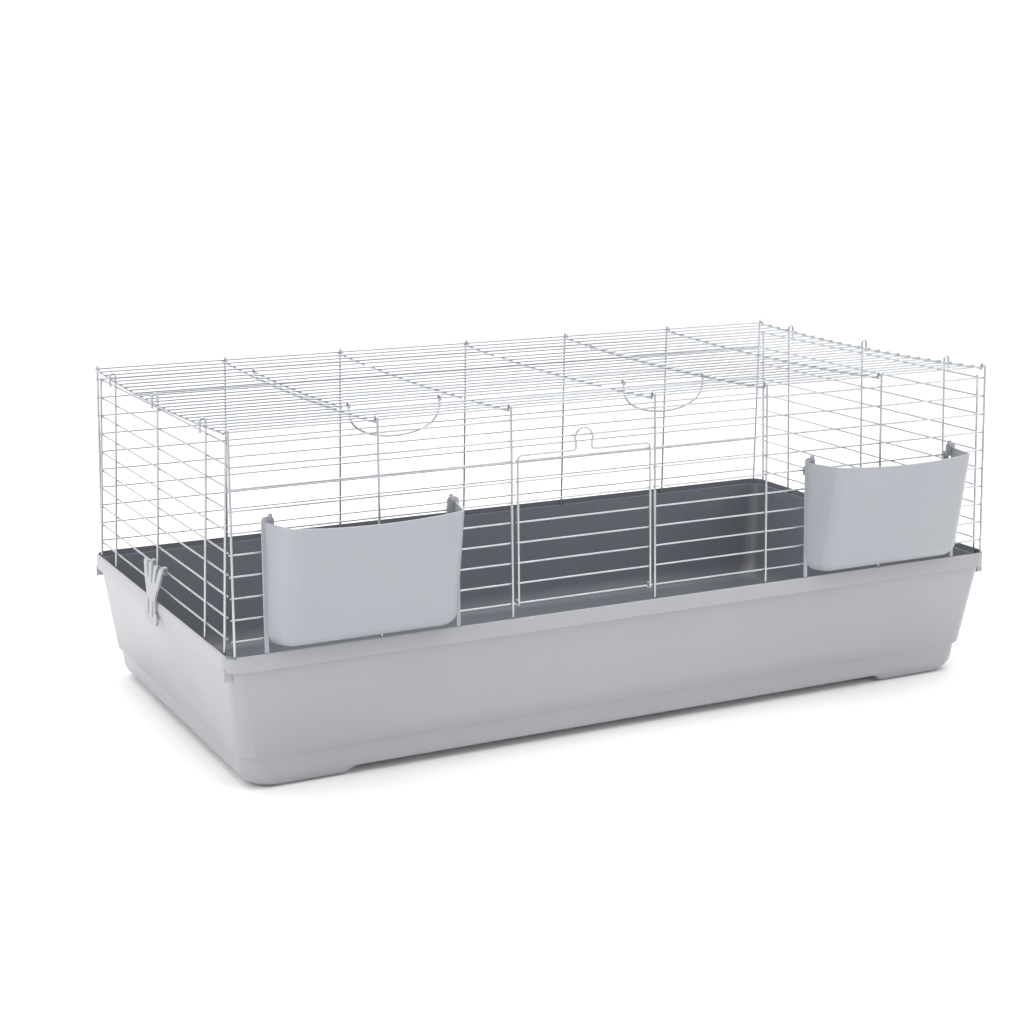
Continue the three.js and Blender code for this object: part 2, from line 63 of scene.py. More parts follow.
def openNew(name):
    # an empty mesh at the origin, left open in edit mode
    deselectAll()
    bpy.ops.mesh.primitive_plane_add(size=0.01, location=(0, 0, 0))
    piece = bpy.context.object
    piece.name = name
    piece.data.name = name
    bpy.ops.object.mode_set(mode="EDIT")
    bpy.ops.mesh.select_all(action="SELECT")
    bpy.ops.mesh.delete(type="VERT")
    return piece


def pickParts(piece, kind, test):
    # in edit mode, leaves only what passes the test selected: kind is "faces", "edges" or "verts"
    bpy.ops.mesh.select_all(action="DESELECT")
    bpy.ops.mesh.select_mode(type={"faces": "FACE", "edges": "EDGE", "verts": "VERT"}[kind])
    shape = bmesh.from_edit_mesh(piece.data)
    for part in getattr(shape, kind):
        part.select_set(bool(test(part)))
    shape.select_flush_mode()
    bmesh.update_edit_mesh(piece.data)


def selectFaces(piece, test):
    pickParts(piece, "faces", lambda face: test(face.calc_center_median(), face.normal, face))


def selectEdges(piece, test):
    pickParts(piece, "edges", lambda edge: test(edge.verts[0].co, edge.verts[1].co))


def selectPoints(piece, test):
    pickParts(piece, "verts", lambda point: test(point.co))


def openCube(name, low, high):
    # a cube between two corners, left open in edit mode with the object at the origin
    piece = openNew(name)
    low, high = Vector(low), Vector(high)
    middle = (low + high) / 2
    bpy.ops.mesh.primitive_cube_add(size=1, location=middle)
    bpy.ops.transform.resize(value=high - low, center_override=middle)
    return piece


def turnSelected(angle, centre, axis):
    # rotate turns the other way when there is no window
    bpy.ops.transform.rotate(value=-angle, orient_axis=axis, orient_type="GLOBAL", center_override=centre)


def closeShape(piece, smoothAngle=40):
    # doubles merged, faces turned outwards, soft shading up to an angle
    bpy.ops.object.mode_set(mode="EDIT")
    bpy.ops.mesh.select_all(action="SELECT")
    bpy.ops.mesh.remove_doubles(threshold=1e-6)
    bpy.ops.mesh.normals_make_consistent(inside=False)
    bpy.ops.object.mode_set(mode="OBJECT")
    pickOnly(piece)
    bpy.ops.object.shade_smooth_by_angle(angle=math.radians(smoothAngle))


def addModifier(piece, kind, **settings):
    pickOnly(piece)
    modifier = piece.modifiers.new(kind.lower(), kind)
    for key, value in settings.items():
        setattr(modifier, key, value)
    bpy.ops.object.modifier_apply(modifier=modifier.name)


def roundEdges(piece, width, angle=40):
    addModifier(piece, "BEVEL", width=width, segments=2, limit_method="ANGLE",
                angle_limit=math.radians(angle))


def carve(piece, tool, operation):
    # cuts a body from a piece or joins it on, and clears it away
    addModifier(piece, "BOOLEAN", operation=operation, object=tool, solver="EXACT")
    bpy.data.objects.remove(tool)


def settle(piece, place):
    # moves a finished shape to its place and leaves the object at the origin
    pickOnly(piece)
    piece.matrix_world = place
    bpy.ops.object.transform_apply(location=True, rotation=True, scale=True)


def copyShape(piece, name):
    # a twin of a finished shape, with its own mesh
    twin = piece.copy()
    twin.data = piece.data.copy()
    twin.name = name
    twin.data.name = name
    bpy.context.collection.objects.link(twin)
    return twin


def finishPiece(piece, body, material, replaced):
    pickOnly(piece)
    piece.data.materials.clear()
    piece.data.materials.append(material)
    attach(piece, body)
    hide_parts(*replaced)
    return piece


def toLinear(hexColour):
    channels = [int(hexColour[i:i + 2], 16) / 255 for i in (1, 3, 5)]
    return [c / 12.92 if c <= 0.04045 else ((c + 0.055) / 1.055) ** 2.4 for c in channels] + [1]


def addNode(tree, kind, settings=None, inputs=None, links=None):
    node = tree.nodes.new(kind)
    for key, value in (settings or {}).items():
        setattr(node, key, value)
    for key, value in (inputs or {}).items():
        node.inputs[key].default_value = value
    for key, socket in (links or {}).items():
        tree.links.new(socket, node.inputs[key])
    return node


def newMaterial(name):
    material = bpy.data.materials.new(name)
    material.use_nodes = True
    tree = material.node_tree
    tree.nodes.clear()
    place = addNode(tree, "ShaderNodeTexCoord").outputs["Object"]
    return material, tree, place


def finishMaterial(tree, shader):
    addNode(tree, "ShaderNodeOutputMaterial", links={"Surface": shader.outputs["BSDF"]})


def spread(tree, factor, low, high):
    # a 0 to 1 pattern turned into a range of values
    node = addNode(tree, "ShaderNodeMapRange", inputs={"To Min": low, "To Max": high},
                   links={"Value": factor})
    return node.outputs["Result"]


def mixColours(tree, factor, first, second):
    node = addNode(tree, "ShaderNodeMix", {"data_type": "RGBA"}, links={0: factor})
    for index, colour in ((6, first), (7, second)):
        if isinstance(colour, str):
            node.inputs[index].default_value = toLinear(colour)
        else:
            tree.links.new(colour, node.inputs[index])
    return node.outputs[2]


def mouldedPolypropylene(name, base, cloudy, roughness):
    # injection moulded polypropylene: a satin grey with faint flow clouds, a fine spark grain
    # and hairline scuffs
    material, tree, place = newMaterial(name)
    clouds = addNode(tree, "ShaderNodeTexNoise", inputs={"Scale": 9, "Detail": 3}, links={"Vector": place})
    grain = addNode(tree, "ShaderNodeTexNoise", inputs={"Scale": 900, "Detail": 2}, links={"Vector": place})
    stretch = addNode(tree, "ShaderNodeMapping", links={"Vector": place},
                      inputs={"Rotation": (0.2, 0.3, 0.5), "Scale": (14, 160, 160)})
    scuffs = addNode(tree, "ShaderNodeTexNoise", inputs={"Scale": 1, "Detail": 5, "Roughness": 0.7},
                     links={"Vector": stretch.outputs["Vector"]})
    marks = addNode(tree, "ShaderNodeMapRange", inputs={"From Min": 0.62, "From Max": 0.72},
                    links={"Value": scuffs.outputs["Fac"]}).outputs["Result"]
    colour = mixColours(tree, clouds.outputs["Fac"], base, cloudy)
    gloss = spread(tree, clouds.outputs["Fac"], roughness - 0.05, roughness + 0.05)
    worn = addNode(tree, "ShaderNodeMath", {"operation": "MULTIPLY_ADD"}, {1: 0.1}, {0: marks, 2: gloss})
    bump = addNode(tree, "ShaderNodeBump", inputs={"Strength": 0.08, "Distance": 0.0002},
                   links={"Height": grain.outputs["Fac"]})
    shader = addNode(tree, "ShaderNodeBsdfPrincipled", inputs={"IOR": 1.49}, links={
        "Base Color": colour, "Roughness": worn.outputs["Value"], "Normal": bump.outputs["Normal"]})
    finishMaterial(tree, shader)
    return material


def zincPlatedWire(name):
    # bright zinc plated steel wire: drawn smooth, mirror-like with slightly duller patches
    material, tree, place = newMaterial(name)
    patches = addNode(tree, "ShaderNodeTexNoise", inputs={"Scale": 60, "Detail": 3}, links={"Vector": place})
    pits = addNode(tree, "ShaderNodeTexNoise", inputs={"Scale": 1400, "Detail": 2}, links={"Vector": place})
    colour = mixColours(tree, patches.outputs["Fac"], "#c9cbce", "#a9acb0")
    gloss = spread(tree, patches.outputs["Fac"], 0.24, 0.4)
    bump = addNode(tree, "ShaderNodeBump", inputs={"Strength": 0.1, "Distance": 0.0001},
                   links={"Height": pits.outputs["Fac"]})
    shader = addNode(tree, "ShaderNodeBsdfPrincipled", inputs={"Metallic": 1.0}, links={
        "Base Color": colour, "Roughness": gloss, "Normal": bump.outputs["Normal"]})
    finishMaterial(tree, shader)
    return material


trayPlastic = mouldedPolypropylene("moulded_polypropylene_tray", "#a2a3a7", "#9d9ea3", 0.32)
# a darker grey for the tray's inside: painted shade, the same plastic as outside with the interior's shadow
# laid into its colour
trayInsidePaintedShade = mouldedPolypropylene("moulded_polypropylene_inside_painted_shade", "#6e7077", "#666870", 0.34)
fittingPlastic = mouldedPolypropylene("moulded_polypropylene_fittings", "#a0a2a8", "#9c9ea5", 0.32)
zincWire = zincPlatedWire("zinc_plated_wire")
print("materials ready")


wire = {
    "post": 0.0032, "rung": 0.0024, "sink": 0.0004, "sides": 12,
    "lowestRung": 0.200, "rungPitch": 0.0265, "rungCount": 10,
    "foot": 0.1744, "footInset": 0.0062, "corner": 0.1826, "top": 0.460, "lean": 0.0076, "endLean": 0.0078,
    "hookRadius": 0.0039, "hookRise": 0.0055, "hookEnd": 0.449, "loopEnd": 0.440,
    "posts": (-0.573, -0.381, -0.197, 0.016, 0.194, 0.387, 0.573),
    "endPosts": (-0.268, -0.195, 0, 0.195, 0.268),
    "overhang": 0.0025,
}
rungOffset = (wire["post"] + wire["rung"]) / 2 - wire["sink"]
rungHeights = [wire["lowestRung"] + i * wire["rungPitch"] for i in range(wire["rungCount"])]
posts = wire["posts"]


def startWire(place, along, diameter):
    bpy.ops.mesh.select_all(action="DESELECT")
    turn = Vector((0, 0, 1)).rotation_difference(Vector(along)).to_euler()
    bpy.ops.mesh.primitive_circle_add(vertices=wire["sides"], radius=diameter / 2, fill_type="NGON",
                                      location=place, rotation=turn)


def runWire(step):
    bpy.ops.mesh.extrude_region_move(TRANSFORM_OT_translate={"value": step})


def bendWire(centre, axis, degrees, steps=8):
    # right-hand turns; spin counts them the other way
    bpy.ops.mesh.spin(steps=steps, dupli=False, angle=-math.radians(degrees), center=centre, axis=axis)


def straightWire(start, end, diameter):
    start, end = Vector(start), Vector(end)
    startWire(start, end - start, diameter)
    runWire(end - start)


def postWire(x, y=0.0):
    # an upright, turned over the roof's edge wire at its top
    foot = wire["corner"] if x in (posts[0], posts[-1]) else wire["foot"]
    bend = wire["top"] - wire["hookRise"]
    startWire((x, y, foot), (0, 0, 1), wire["post"])
    runWire((0, 0, bend - foot))
    bendWire((x, y + wire["hookRadius"], bend), (1, 0, 0), -180)
    runWire((0, 0, wire["hookEnd"] - bend))


def panelPlace(turn, foot, lean):
    # from a flat panel, y inwards, to where it stands on the tray
    tilt = Matrix.Rotation(-math.atan2(lean, wire["top"] - wire["foot"]), 4, "X")
    stand = Matrix.Translation((0, middleY, 0)) @ Matrix.Rotation(turn, 4, "Z")
    lift = Matrix.Translation((0, -foot, wire["foot"]))
    return stand @ lift @ tilt @ Matrix.Translation((0, 0, -wire["foot"]))


frontPlace = panelPlace(0, rimHalfDepth - wire["footInset"], wire["lean"])
rearPlace = panelPlace(math.pi, rimHalfDepth - wire["footInset"], wire["lean"])
leftPlace = panelPlace(-math.pi / 2, rimHalfLength - wire["footInset"], wire["endLean"])
rightPlace = panelPlace(math.pi / 2, rimHalfLength - wire["footInset"], wire["endLean"])


def frontPanel():
    piece = openNew("front_panel")
    for x in posts:
        postWire(x)
    left, right = posts[0] - wire["overhang"], posts[-1] + wire["overhang"]
    for i, z in enumerate(rungHeights):
        whole = i in (0, 8, 9)  # these rungs pass below and above the doorway
        spans = [(left, right)] if whole else [(left, posts[2] + 0.001), (posts[3] - 0.001, right)]
        for x0, x1 in spans:
            straightWire((x0, rungOffset, z), (x1, rungOffset, z), wire["rung"])
    closeShape(piece)
    settle(piece, frontPlace)
    return finishPiece(piece, "cage", zincWire,
                       ["front_grille_left", "front_grille_right", "doorway_frame"])


def rearPanel():
    piece = openNew("rear_wire_panel")
    for x in posts:
        postWire(-x)
    left, right = -posts[-1] - wire["overhang"], -posts[0] + wire["overhang"]
    for z in rungHeights:
        straightWire((left, rungOffset, z), (right, rungOffset, z), wire["rung"])
    closeShape(piece)
    settle(piece, rearPlace)
    return finishPiece(piece, "cage", zincWire, ["rear_panel"])


def endPanel(name, place, mirrored, node):
    piece = openNew(name)
    for across in wire["endPosts"]:
        x = -across if mirrored else across
        startWire((x, 0, wire["foot"]), (0, 0, 1), wire["post"])
        if across in (wire["endPosts"][0], wire["endPosts"][-1]):  # corner uprights stop at the top rung
            runWire((0, 0, rungHeights[-1] + 0.003 - wire["foot"]))
            continue
        bend = wire["top"] - wire["hookRise"]
        runWire((0, 0, bend - wire["foot"]))
        bendWire((x, -wire["hookRadius"], bend), (1, 0, 0), 180)
        runWire((0, 0.0004, wire["loopEnd"] - bend))
    reach = wire["endPosts"][-1] + wire["overhang"]
    for z in rungHeights:
        straightWire((-reach, rungOffset, z), (reach, rungOffset, z), wire["rung"])
    closeShape(piece)
    settle(piece, place)
    return finishPiece(piece, "cage", zincWire, [node])


frontPanel()
rearPanel()
endPanel("left_wire_end", leftPlace, False, "left_end_panel")
endPanel("right_wire_end", rightPlace, True, "right_end_panel")
print("wire walls ready")

roof = {
    "edgeTop": 0.4553, "sag": 0.007, "halfDepth": 0.277, "halfLength": 0.5747, "wires": 24, "openRows": 5,
    "crossShift": -0.0036, "endReach": 0.0065,
}
roofPitch = 2 * roof["halfDepth"] / (roof["wires"] - 1)
roofRows = [-roof["halfDepth"] + i * roofPitch for i in range(roof["wires"])]
crossPlaces = [x + roof["crossShift"] for x in posts]
openLeft, openRight = crossPlaces[1], crossPlaces[4]


def roofHeight(y):
    return roof["edgeTop"] - wire["rung"] / 2 - roof["sag"] * (1 - (y / roof["halfDepth"]) ** 2)


def crossWire(x, y0, y1, lift=0.0):
    # a cross wire under the long ones, bowed like the roof
    steps = max(2, round((y1 - y0) / 0.03))
    path = [Vector((x, y0 + (y1 - y0) * i / steps, 0)) for i in range(steps + 1)]
    for point in path:
        point.z = roofHeight(point.y) - rungOffset + lift
        point.y += middleY
    startWire(path[0], (0, 1, 0), wire["post"])
    for before, after in zip(path, path[1:]):
        runWire(after - before)


def longWire(y, x0, x1, lift=0.0):
    z = roofHeight(y) + lift
    straightWire((x0, y + middleY, z), (x1, y + middleY, z), wire["rung"])


def roofPanel():
    piece = openNew("roof_panel")
    end = roof["halfLength"] + 0.003
    edge = roof["halfDepth"] + wire["rung"] / 2
    inner = roof["halfDepth"] - roof["endReach"]
    for i, y in enumerate(roofRows):
        if i < roof["openRows"] or i >= roof["wires"] - roof["openRows"]:
            longWire(y, -end, end)
        else:
            longWire(y, -end, openLeft + 0.0012)
            longWire(y, openRight - 0.0012, end)
    for x in (-roof["halfLength"], roof["halfLength"]):
        crossWire(x, -inner, inner)
    for x in (openLeft, openRight, crossPlaces[5]):
        crossWire(x, -edge, edge)
    for x in (crossPlaces[2], crossPlaces[3]):
        crossWire(x, -edge, roofRows[4] + 0.002)
        crossWire(x, roofRows[-5] - 0.002, edge)
    closeShape(piece)
    return finishPiece(piece, "cage", zincWire,
                       ["roof_grille_left", "roof_grille_right", "roof_front_strip", "roof_rear_strip"])


eye = {"radius": 0.0038, "wire": 0.0028, "sweep": 304}
hatch = {"frames": (-0.372, 0.186), "rows": 13, "overlap": 0.004, "lift": 0.0008}
hatchRows = [(i - (hatch["rows"] - 1) / 2) * roofPitch for i in range(hatch["rows"])]
hingeRow = roofRows[-5]


def eyeWire(x, y, z, start):
    # a wire end curled round another wire that runs along x
    angle = math.radians(start)
    place = (x, y + eye["radius"] * math.cos(angle), z + eye["radius"] * math.sin(angle))
    startWire(place, (0, -math.sin(angle), math.cos(angle)), eye["wire"])
    bendWire((x, y, z), (1, 0, 0), eye["sweep"], 20)


def roofHatch():
    piece = openNew("roof_hatch_panel")
    lift = hatch["lift"]
    for y in hatchRows:
        longWire(y, openLeft - hatch["overlap"], openRight + hatch["overlap"], lift)
    for x in (crossPlaces[2], crossPlaces[3]):
        crossWire(x, hatchRows[0] - 0.002, hatchRows[-1] + 0.002, lift)
    for x in hatch["frames"]:
        crossWire(x, hatchRows[0] - 0.002, hingeRow - 0.0028, lift)
        eyeWire(x, hingeRow + middleY, roofHeight(hingeRow), 207)
    closeShape(piece)
    return finishPiece(piece, "hatch", zincWire,
                       ["roof_hatch", "hatch_arm_left", "hatch_arm_right"])


bail = {"width": 0.130, "drop": 0.041, "wire": 0.003, "steps": 24, "left": -0.297, "right": 0.115}


def bailShape(name):
    # a bow with a curled eye at each end, modelled in the middle of the hatch's front wire
    piece = openNew(name)
    y = hatchRows[0] + middleY
    z = roofHeight(hatchRows[0]) + hatch["lift"]
    half = bail["width"] / 2
    path = []
    for i in range(bail["steps"] + 1):
        angle = math.pi * (1 + i / bail["steps"])
        flat = abs(math.sin(angle)) ** 0.75
        path.append(Vector((half * math.cos(angle), y, z - eye["radius"] - bail["drop"] * flat)))
    # each step is turned as well as moved, so that the wire keeps its thickness round the bow
    startWire(path[0], path[1] - path[0], bail["wire"])
    for i in range(1, len(path)):
        ahead = path[min(i + 1, len(path) - 1)] - path[i - 1]
        behind = path[i] - path[max(i - 2, 0)]
        runWire(path[i] - path[i - 1])
        turn = math.atan2(ahead.x, ahead.z) - math.atan2(behind.x, behind.z)
        turn = (turn + math.pi) % (2 * math.pi) - math.pi
        turnSelected(turn, path[i], "Y")
    for x in (-half, half):
        eyeWire(x, y, z, -90)
    closeShape(piece)
    return piece


def hangBail(piece, centre, body, node):
    settle(piece, Matrix.Translation((centre, 0, 0)))
    return finishPiece(piece, body, zincWire, [node])


roofPanel()
roofHatch()
leftBail = bailShape("bail_left_wire")
rightBail = copyShape(leftBail, "bail_right_wire")
hangBail(leftBail, bail["left"], "bail_left", "hatch_bail_left")
hangBail(rightBail, bail["right"], "bail_right", "hatch_bail_right")
print("roof ready")

door = {"gap": 0.008, "top": 0.393, "corner": 0.007, "wire": 0.003, "rungs": 7}
latch = {"left": -0.104, "right": -0.080, "neck": 0.403, "radius": 0.013, "bend": 0.0035}


def frontDoor():
    piece = openNew("front_door_wires")
    left, right = posts[2] + door["gap"], posts[3] - door["gap"]
    y = rungOffset - eye["radius"]
    r = door["corner"]
    top = door["top"]
    startWire((left, y, wire["lowestRung"]), (0, 0, 1), door["wire"])
    runWire((0, 0, top - r - wire["lowestRung"]))
    bendWire((left + r, y, top - r), (0, 1, 0), 90)
    # the latch: out along the top, up through a narrow neck and round an open loop
    small = latch["bend"]
    runWire((latch["left"] - small - (left + r), 0, 0))
    bendWire((latch["left"] - small, y, top + small), (0, 1, 0), -90, 6)
    runWire((0, 0, latch["neck"] - top - small))
    middle = (latch["left"] + latch["right"]) / 2
    halfNeck = (latch["right"] - latch["left"]) / 2
    flare = math.degrees(math.acos((halfNeck + small) / (latch["radius"] + small)))
    bendWire((latch["left"] - small, y, latch["neck"]), (0, 1, 0), -flare, 5)
    loopZ = latch["neck"] + (latch["radius"] + small) * math.sin(math.radians(flare))
    bendWire((middle, y, loopZ), (0, 1, 0), 180 + 2 * flare, 22)
    bendWire((latch["right"] + small, y, latch["neck"]), (0, 1, 0), -flare, 5)
    runWire((0, 0, top + small - latch["neck"]))
    bendWire((latch["right"] + small, y, top + small), (0, 1, 0), -90, 6)
    runWire((right - r - latch["right"] - small, 0, 0))
    bendWire((right - r, y, top - r), (0, 1, 0), 90)
    runWire((0, 0, wire["lowestRung"] - top + r))
    for x in (left, right):
        eyeWire(x, rungOffset, wire["lowestRung"], 180)
    rungY = y + (door["wire"] + wire["rung"]) / 2 - wire["sink"]
    for z in rungHeights[1:door["rungs"] + 1]:
        straightWire((left - 0.002, rungY, z), (right + 0.002, rungY, z), wire["rung"])
    closeShape(piece)
    settle(piece, frontPlace)
    return finishPiece(piece, "door", zincWire, ["front_door"])


frontDoor()
print("door ready")

tray = {
    # levels: inset from the rim, height, and how much further in the short ends stand
    "outside": ((42, 0, 16), (36.5, 1.2, 12.8), (32, 4.2, 10.2), (29, 8.8, 7), (27.6, 15, 3.3),
                (27, 22, 1), (26, 40, 0), (22, 45, 0), (5, 170, 0), (2.5, 170, 0), (2.5, 162, 0),
                (0, 162, 0), (0, 180, 0), (0.8, 182, 0)),
    "inside": ((3.2, 182, 0), (3.4, 174, 0), (9, 174, 0), (25.5, 45, 0), (27, 36, 0), (31, 27, 0),
               (34, 22.5, 0), (38, 19, 0), (44, 16.8, 0), (52, 16, 0)),
    "corner": 24, "cornerSteps": 10, "edge": 0.0006,
    "footHeight": 0.012, "footEnds": ((0.407, 0.420), (0.133, 0.146)),
    "panelDepth": 0.0022, "panelProud": 0.0019, "panelHalf": 0.388, "panelRound": 0.062,
    "panelFoot": 0.007, "panelHead": 0.124,  # up the wall from its crease
    "lugInset": (0.0004, 0.0104), "lugStand": (0.014, 0.0165), "lugHeight": (0.150, 0.165),
}
wallFoot, wallHead = [level for level in tray["outside"] if level[1] in (45, 170)][:2]


def trayCorner(inset):
    # plan radius in millimetres: tightest on the ledge, rounder towards the floor
    return tray["corner"] - min(inset, 9) + max(0, inset - 9) * 0.6


def cornerCentre(sx, sy, inset, endInset):
    reach = (inset + trayCorner(inset)) / 1000
    return Vector((sx * (rimHalfLength - reach - endInset / 1000), middleY + sy * (rimHalfDepth - reach), 0))


def reshapeRing(piece, level, newLevel):
    # the ring in hand is moved corner by corner to its new inset and corner radius
    shape = bmesh.from_edit_mesh(piece.data)
    ring = {point.index for point in shape.verts if point.select}
    inset, endInset, newInset, newEndInset = level[0], level[2], newLevel[0], newLevel[2]
    for sx in (-1, 1):
        for sy in (-1, 1):
            pickParts(piece, "verts", lambda p: (
                p.index in ring and p.co.x * sx > 0 and (p.co.y - middleY) * sy > 0))
            centre = cornerCentre(sx, sy, inset, endInset)
            target = cornerCentre(sx, sy, newInset, newEndInset)
            size = trayCorner(newInset) / trayCorner(inset)
            bpy.ops.transform.resize(value=(size, size, 1), center_override=centre)
            bpy.ops.transform.translate(value=target - centre)
    pickParts(piece, "verts", lambda p: p.index in ring)
    bpy.ops.mesh.select_mode(type="FACE")


def trayFeet(piece):
    # the underside is cut along the feet, and what lies between them is raised
    def underside(middle, normal, face):
        return all(point.co.z < tray["footHeight"] + 0.0011 for point in face.verts)
    for axis, places in ((0, tray["footEnds"][0]), (1, tray["footEnds"][1])):
        for place in (*places, *[-p for p in places]):
            cut = Vector((place, 0, 0)) if axis == 0 else Vector((0, middleY + place, 0))
            normal = (1, 0, 0) if axis == 0 else (0, 1, 0)
            selectFaces(piece, underside)
            bpy.ops.mesh.bisect(plane_co=cut, plane_no=normal)
    lengthwise, across = tray["footEnds"][0][0] + 1e-4, tray["footEnds"][1][0] + 1e-4
    selectPoints(piece, lambda co: co.z < tray["footHeight"] and (
        abs(co.x) < lengthwise or abs(co.y - middleY) < across))
    bpy.ops.transform.resize(value=(1, 1, 0), center_override=(0, 0, tray["footHeight"]))


def wallPanelTool(side):
    # the body cut from a long wall to leave its shallow arched panel, whose edges slope gently
    half, head = tray["panelHalf"], tray["panelHead"]
    tool = openCube("panel_tool", (-half, -tray["panelProud"], tray["panelFoot"]),
                    (half, tray["panelDepth"], head))
    selectPoints(tool, lambda co: co.z < 0.05)
    bpy.ops.transform.resize(value=(0.88, 1, 1), center_override=(0, 0, 0))
    selectEdges(tool, lambda a, b: a.z < 0.05 and b.z < 0.05 and abs(a.x - b.x) < 1e-5)
    bpy.ops.mesh.bevel(offset=tray["panelRound"], segments=18, profile=0.5, affect="EDGES")
    selectPoints(tool, lambda co: co.y > 0)
    bpy.ops.transform.resize(value=(0.95, 1, 0.82), center_override=(0, 0, head))
    bpy.ops.object.mode_set(mode="OBJECT")
    tilt = Matrix.Rotation(math.atan2(wallFoot[0] - wallHead[0], wallHead[1] - wallFoot[1]), 4, "X")
    turn = Matrix.Rotation(0 if side < 0 else math.pi, 4, "Z")
    crease = Matrix.Translation((0, wallFoot[0] / 1000 - rimHalfDepth, wallFoot[1] / 1000))
    settle(tool, Matrix.Translation((0, middleY, 0)) @ turn @ crease @ tilt)
    return tool


def cornerLug(side, end):
    # the small block that hangs below the rim near each corner
    low, high = tray["lugHeight"]
    xs = sorted(end * (rimHalfLength - inset) for inset in tray["lugInset"])
    ys = sorted(middleY + side * (rimHalfDepth - inset) for inset in tray["lugStand"])
    tool = openCube("lug_tool", (xs[0], ys[0], low), (xs[1], ys[1], high))
    bpy.ops.object.mode_set(mode="OBJECT")
    return tool


def insidePaintedShadeFace(face):
    # the ledge, the inner walls and the floor: the faces that take the darker grey, which is painted shade
    c, n = face.center, face.normal
    inset = min(rimHalfLength - abs(c.x), rimHalfDepth - abs(c.y - middleY))
    if c.z > 0.1735:
        return inset > 0.0031
    inwards = n.x * c.x + n.y * (c.y - middleY) < 0
    return inset > 0.009 and c.z > 0.0155 and (inwards or n.z > 0.9)


def plasticTray():
    piece = openNew("plastic_tray")
    levels = tray["outside"] + tray["inside"]
    inset, height, endInset = levels[0]
    width, depth = rimHalfLength - (inset + endInset) / 1000, rimHalfDepth - inset / 1000
    bpy.ops.mesh.primitive_plane_add(size=1, location=(0, middleY, 0))
    bpy.ops.transform.resize(value=(2 * width, 2 * depth, 1), center_override=(0, middleY, 0))
    bpy.ops.mesh.bevel(offset=trayCorner(inset) / 1000, segments=tray["cornerSteps"], profile=0.5,
                       affect="VERTICES")
    bpy.ops.mesh.select_all(action="SELECT")
    for level, newLevel in zip(levels, levels[1:]):
        rise = (newLevel[1] - level[1]) / 1000
        bpy.ops.mesh.extrude_region_move(TRANSFORM_OT_translate={"value": (0, 0, rise)})
        reshapeRing(piece, level, newLevel)
    trayFeet(piece)
    closeShape(piece)
    for side in (-1, 1):
        carve(piece, wallPanelTool(side), "DIFFERENCE")
        for end in (-1, 1):
            carve(piece, cornerLug(side, end), "UNION")
    roundEdges(piece, tray["edge"], 35)
    closeShape(piece, 35)
    finishPiece(piece, "cage", trayPlastic, ["base_tray"])
    # the ledge, inner walls and floor take the darker grey as painted shade
    piece.data.materials.append(trayInsidePaintedShade)
    for face in piece.data.polygons:
        face.material_index = 1 if insidePaintedShadeFace(face) else 0
    return piece


plasticTray()
print("tray ready")

feeder = {
    "halfWidth": 0.128, "top": 0.343, "bottom": 0.190, "depthTop": 0.0635, "depthBottom": 0.030,
    "taper": 0.0165, "sideRound": 0.014, "bottomRound": 0.020, "wall": 0.0025, "bow": 0.0023, "dip": 0.004,
    "flange": 0.003, "flangeThick": 0.0022, "flangeBottom": 0.183, "flangeTop": 0.336, "back": 0.0022,
    "earWide": 0.016, "earFoot": 0.331, "earTop": 0.350, "earRound": 0.005,
    "hookWide": 0.009, "hookThick": 0.0022, "hookRung": 5, "edge": 0.0005,
    "left": -0.405, "right": 0.387,
}


def bowFront(piece):
    # the long front wall bows out a little towards its top edge, which dips in the middle
    f = feeder
    columns = [i * 0.025 for i in range(-3, 4)]
    for x in columns:
        bpy.ops.mesh.select_all(action="SELECT")
        bpy.ops.mesh.bisect(plane_co=(x, 0, 0), plane_no=(1, 0, 0))
    for x in columns:
        across = 1 - (x / 0.1) ** 2
        selectPoints(piece, lambda co: abs(co.x - x) < 1e-4 and co.y < -0.03 and co.z > 0.3)
        bpy.ops.transform.translate(value=(0, -f["bow"] * across, -f["dip"] * across))


def feederEar(side):
    # the tab at a top corner: a plate, a bridge over the rung, a lip behind it and a stud on top
    f = feeder
    x0, x1 = f["halfWidth"] + f["flange"] - f["earWide"], f["halfWidth"] + f["flange"]
    rungTop = rungHeights[f["hookRung"]] + wire["rung"] / 2
    reach = f["back"] + rungOffset + wire["rung"] / 2 + 0.001
    left, right = (x0 + x1 - f["hookWide"]) / 2, (x0 + x1 + f["hookWide"]) / 2
    back = reach + f["hookThick"]
    plate = ((x0, -f["flangeThick"], f["earFoot"]), (x1, 0, f["earTop"]))
    bridge = ((left, -0.001, rungTop + 0.0005), (right, back, rungTop + 0.0032))
    lip = ((left, reach, rungTop - 0.009), (right, back, rungTop + 0.003))
    stud = ((x0 + 0.003, -0.0045, f["earTop"] - 0.004), (x0 + 0.007, -0.0005, f["earTop"] + 0.0035))
    tools = []
    for box in (plate, bridge, lip, stud):
        low, high = box
        xs = sorted((side * low[0], side * high[0]))
        tool = openCube("ear_tool", (xs[0], low[1], low[2]), (xs[1], high[1], high[2]))
        if box is plate:
            selectEdges(tool, lambda a, b: a.z > 0.34 and b.z > 0.34 and abs(a.x - b.x) < 1e-5)
            bpy.ops.mesh.bevel(offset=f["earRound"], segments=6, profile=0.5, affect="EDGES")
        bpy.ops.object.mode_set(mode="OBJECT")
        tools.append(tool)
    return tools


